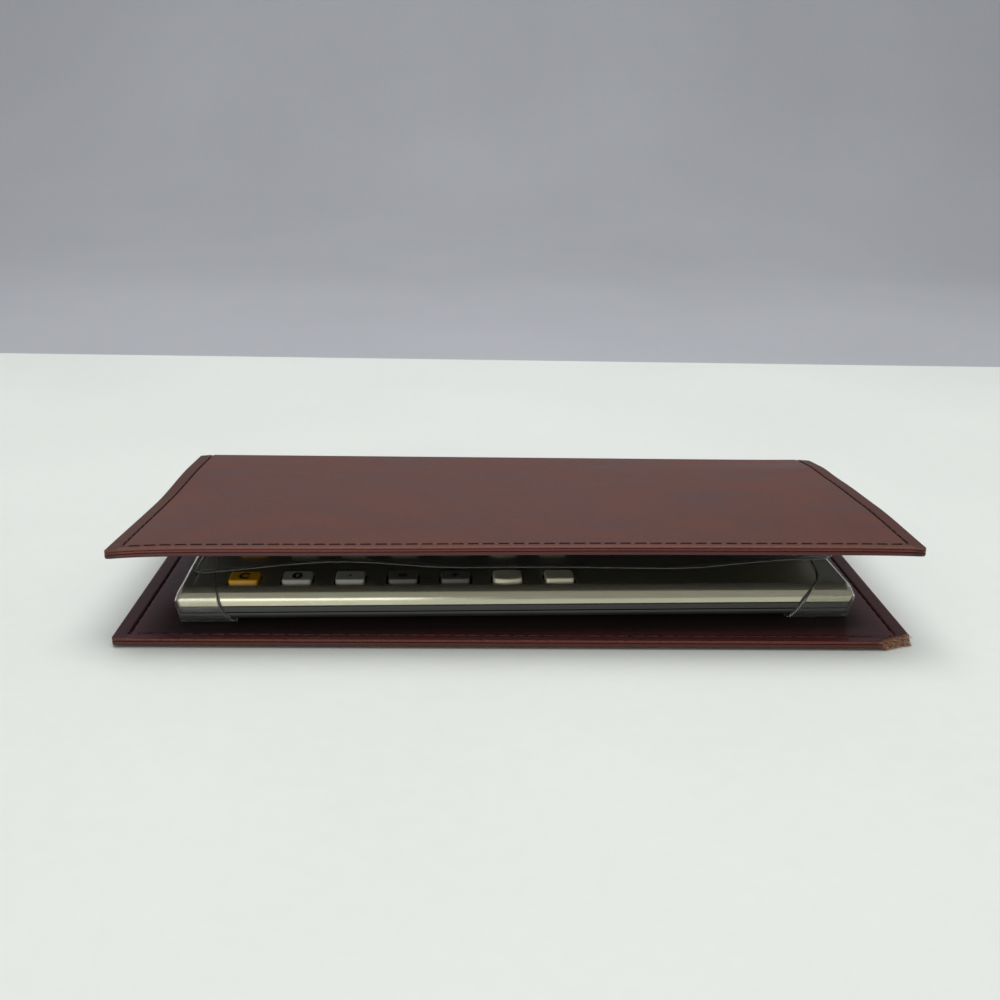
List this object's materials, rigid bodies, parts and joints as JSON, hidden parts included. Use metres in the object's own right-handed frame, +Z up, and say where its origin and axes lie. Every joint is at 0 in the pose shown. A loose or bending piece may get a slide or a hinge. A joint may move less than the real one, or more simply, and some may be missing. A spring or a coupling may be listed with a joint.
{
  "type": "checkbook calculator",
  "caption": "Flat pocket calculator in a clear film pocket on the lower leaf of a folding leather check cover, with a film flap over its keys and a slip pocket in the cover",
  "frame": {"origin": "on the table under the middle of the cover's outline", "axes": "+X to the right along the fold, +Y from the fore edge to the fold, +Z up"},
  "size_m": [0.1656, 0.085, 0.0227],
  "materials": {
    "outer_leather": "worn smooth oxblood leather",
    "inner_leather": "smooth dark oxblood leather",
    "board": "plain board",
    "clear_film": "clear flexible film",
    "case_plastic": "dark grey satin plastic",
    "face_metal": "champagne satin metal",
    "window": "clear pane",
    "display": "grey-green liquid crystal glass",
    "rubber": "grey rubber",
    "laminate": "green laminate",
    "steel": "plain steel",
    "brass": "spring strip",
    "amber_key": "amber satin plastic",
    "grey_key": "light grey satin plastic",
    "dark_key": "dark grey satin plastic",
    "champagne_key": "champagne satin plastic"
  },
  "bodies": {
    "base": {"base_skin": "outer_leather", "base_lining": "inner_leather", "base_board": "board", "clear_pocket": "clear_film", "bottom_case": "case_plastic", "mid_frame": "case_plastic", "battery_door": "case_plastic", "slide_switch": "case_plastic", "logic_chip": "case_plastic", "face_plate": "face_metal", "display_window": "window", "display_glass": "display", "contact_strip": "rubber", "key_mat": "rubber", "circuit_board": "laminate", "button_cells": "steel", "case_screws": "steel", "battery_contacts": "brass"},
    "spine": {"spine": "outer_leather"},
    "cover": {"cover_skin": "outer_leather", "cover_lining": "inner_leather", "check_pocket": "inner_leather", "cover_board": "board"},
    "flap": {"clear_flap": "clear_film"},
    "power_slider": {"power_slider": "case_plastic"},
    "key_clear": {"key_clear": "amber_key"},
    "key_clear_entry": {"key_clear_entry": "amber_key"},
    "key_percent": {"key_percent": "amber_key"},
    "key_root": {"key_root": "amber_key"},
    "key_0": {"key_0": "grey_key"},
    "key_1": {"key_1": "grey_key"},
    "key_4": {"key_4": "grey_key"},
    "key_7": {"key_7": "grey_key"},
    "key_point": {"key_point": "grey_key"},
    "key_2": {"key_2": "grey_key"},
    "key_5": {"key_5": "grey_key"},
    "key_8": {"key_8": "grey_key"},
    "key_equals": {"key_equals": "dark_key"},
    "key_3": {"key_3": "grey_key"},
    "key_6": {"key_6": "grey_key"},
    "key_9": {"key_9": "grey_key"},
    "key_plus": {"key_plus": "dark_key"},
    "key_minus": {"key_minus": "dark_key"},
    "key_times": {"key_times": "dark_key"},
    "key_divide": {"key_divide": "dark_key"},
    "key_recall": {"key_recall": "champagne_key"},
    "key_memory_clear": {"key_memory_clear": "champagne_key"},
    "key_memory_minus": {"key_memory_minus": "champagne_key"},
    "key_memory_plus": {"key_memory_plus": "champagne_key"},
    "key_balance": {"key_balance": "champagne_key"},
    "key_deposit": {"key_deposit": "champagne_key"},
    "key_check": {"key_check": "champagne_key"},
    "key_change_sign": {"key_change_sign": "champagne_key"}
  },
  "joints": [
    {"name": "spine_fold", "type": "hinge", "parent": "base", "child": "spine", "pos_m": [0, 0.0417, 0.001], "axis": [-1, 0, 0], "range_deg": [-2.4, 90]},
    {"name": "cover_fold", "type": "hinge", "parent": "spine", "child": "cover", "pos_m": [0, 0.0417, 0.0147], "axis": [-1, 0, 0], "range_deg": [-2.3, 85.25]},
    {"name": "flap_fold", "type": "hinge", "parent": "base", "child": "flap", "pos_m": [-0.00085, 0.02754, 0.01068], "axis": [-0.9995, -0.0314, 0], "range_deg": [-1.25, 45]},
    {"name": "power_slide", "type": "slide", "parent": "base", "child": "power_slider", "axis": [0.9995, 0.0314, 0], "range_m": [0, 0.004]},
    {"name": "key_clear_press", "type": "slide", "parent": "base", "child": "key_clear", "axis": [0, 0, -1], "range_m": [0, 0.0007], "stiffness_N_per_m": 250},
    {"name": "key_clear_entry_press", "type": "slide", "parent": "base", "child": "key_clear_entry", "axis": [0, 0, -1], "range_m": [0, 0.0007], "stiffness_N_per_m": 250},
    {"name": "key_percent_press", "type": "slide", "parent": "base", "child": "key_percent", "axis": [0, 0, -1], "range_m": [0, 0.0007], "stiffness_N_per_m": 250},
    {"name": "key_root_press", "type": "slide", "parent": "base", "child": "key_root", "axis": [0, 0, -1], "range_m": [0, 0.0007], "stiffness_N_per_m": 250},
    {"name": "key_0_press", "type": "slide", "parent": "base", "child": "key_0", "axis": [0, 0, -1], "range_m": [0, 0.0007], "stiffness_N_per_m": 250},
    {"name": "key_1_press", "type": "slide", "parent": "base", "child": "key_1", "axis": [0, 0, -1], "range_m": [0, 0.0007], "stiffness_N_per_m": 250},
    {"name": "key_4_press", "type": "slide", "parent": "base", "child": "key_4", "axis": [0, 0, -1], "range_m": [0, 0.0007], "stiffness_N_per_m": 250},
    {"name": "key_7_press", "type": "slide", "parent": "base", "child": "key_7", "axis": [0, 0, -1], "range_m": [0, 0.0007], "stiffness_N_per_m": 250},
    {"name": "key_point_press", "type": "slide", "parent": "base", "child": "key_point", "axis": [0, 0, -1], "range_m": [0, 0.0007], "stiffness_N_per_m": 250},
    {"name": "key_2_press", "type": "slide", "parent": "base", "child": "key_2", "axis": [0, 0, -1], "range_m": [0, 0.0007], "stiffness_N_per_m": 250},
    {"name": "key_5_press", "type": "slide", "parent": "base", "child": "key_5", "axis": [0, 0, -1], "range_m": [0, 0.0007], "stiffness_N_per_m": 250},
    {"name": "key_8_press", "type": "slide", "parent": "base", "child": "key_8", "axis": [0, 0, -1], "range_m": [0, 0.0007], "stiffness_N_per_m": 250},
    {"name": "key_equals_press", "type": "slide", "parent": "base", "child": "key_equals", "axis": [0, 0, -1], "range_m": [0, 0.0007], "stiffness_N_per_m": 250},
    {"name": "key_3_press", "type": "slide", "parent": "base", "child": "key_3", "axis": [0, 0, -1], "range_m": [0, 0.0007], "stiffness_N_per_m": 250},
    {"name": "key_6_press", "type": "slide", "parent": "base", "child": "key_6", "axis": [0, 0, -1], "range_m": [0, 0.0007], "stiffness_N_per_m": 250},
    {"name": "key_9_press", "type": "slide", "parent": "base", "child": "key_9", "axis": [0, 0, -1], "range_m": [0, 0.0007], "stiffness_N_per_m": 250},
    {"name": "key_plus_press", "type": "slide", "parent": "base", "child": "key_plus", "axis": [0, 0, -1], "range_m": [0, 0.0007], "stiffness_N_per_m": 250},
    {"name": "key_minus_press", "type": "slide", "parent": "base", "child": "key_minus", "axis": [0, 0, -1], "range_m": [0, 0.0007], "stiffness_N_per_m": 250},
    {"name": "key_times_press", "type": "slide", "parent": "base", "child": "key_times", "axis": [0, 0, -1], "range_m": [0, 0.0007], "stiffness_N_per_m": 250},
    {"name": "key_divide_press", "type": "slide", "parent": "base", "child": "key_divide", "axis": [0, 0, -1], "range_m": [0, 0.0007], "stiffness_N_per_m": 250},
    {"name": "key_recall_press", "type": "slide", "parent": "base", "child": "key_recall", "axis": [0, 0, -1], "range_m": [0, 0.0007], "stiffness_N_per_m": 250},
    {"name": "key_memory_clear_press", "type": "slide", "parent": "base", "child": "key_memory_clear", "axis": [0, 0, -1], "range_m": [0, 0.0007], "stiffness_N_per_m": 250},
    {"name": "key_memory_minus_press", "type": "slide", "parent": "base", "child": "key_memory_minus", "axis": [0, 0, -1], "range_m": [0, 0.0007], "stiffness_N_per_m": 250},
    {"name": "key_memory_plus_press", "type": "slide", "parent": "base", "child": "key_memory_plus", "axis": [0, 0, -1], "range_m": [0, 0.0007], "stiffness_N_per_m": 250},
    {"name": "key_balance_press", "type": "slide", "parent": "base", "child": "key_balance", "axis": [0, 0, -1], "range_m": [0, 0.0007], "stiffness_N_per_m": 250},
    {"name": "key_deposit_press", "type": "slide", "parent": "base", "child": "key_deposit", "axis": [0, 0, -1], "range_m": [0, 0.0007], "stiffness_N_per_m": 250},
    {"name": "key_check_press", "type": "slide", "parent": "base", "child": "key_check", "axis": [0, 0, -1], "range_m": [0, 0.0007], "stiffness_N_per_m": 250},
    {"name": "key_change_sign_press", "type": "slide", "parent": "base", "child": "key_change_sign", "axis": [0, 0, -1], "range_m": [0, 0.0007], "stiffness_N_per_m": 250}
  ],
  "couplings": [
    {"joint": "cover_fold", "follows": "spine_fold", "ratio": 0.947},
    {"joint": "flap_fold", "follows": "spine_fold", "ratio": 0.5}
  ]
}
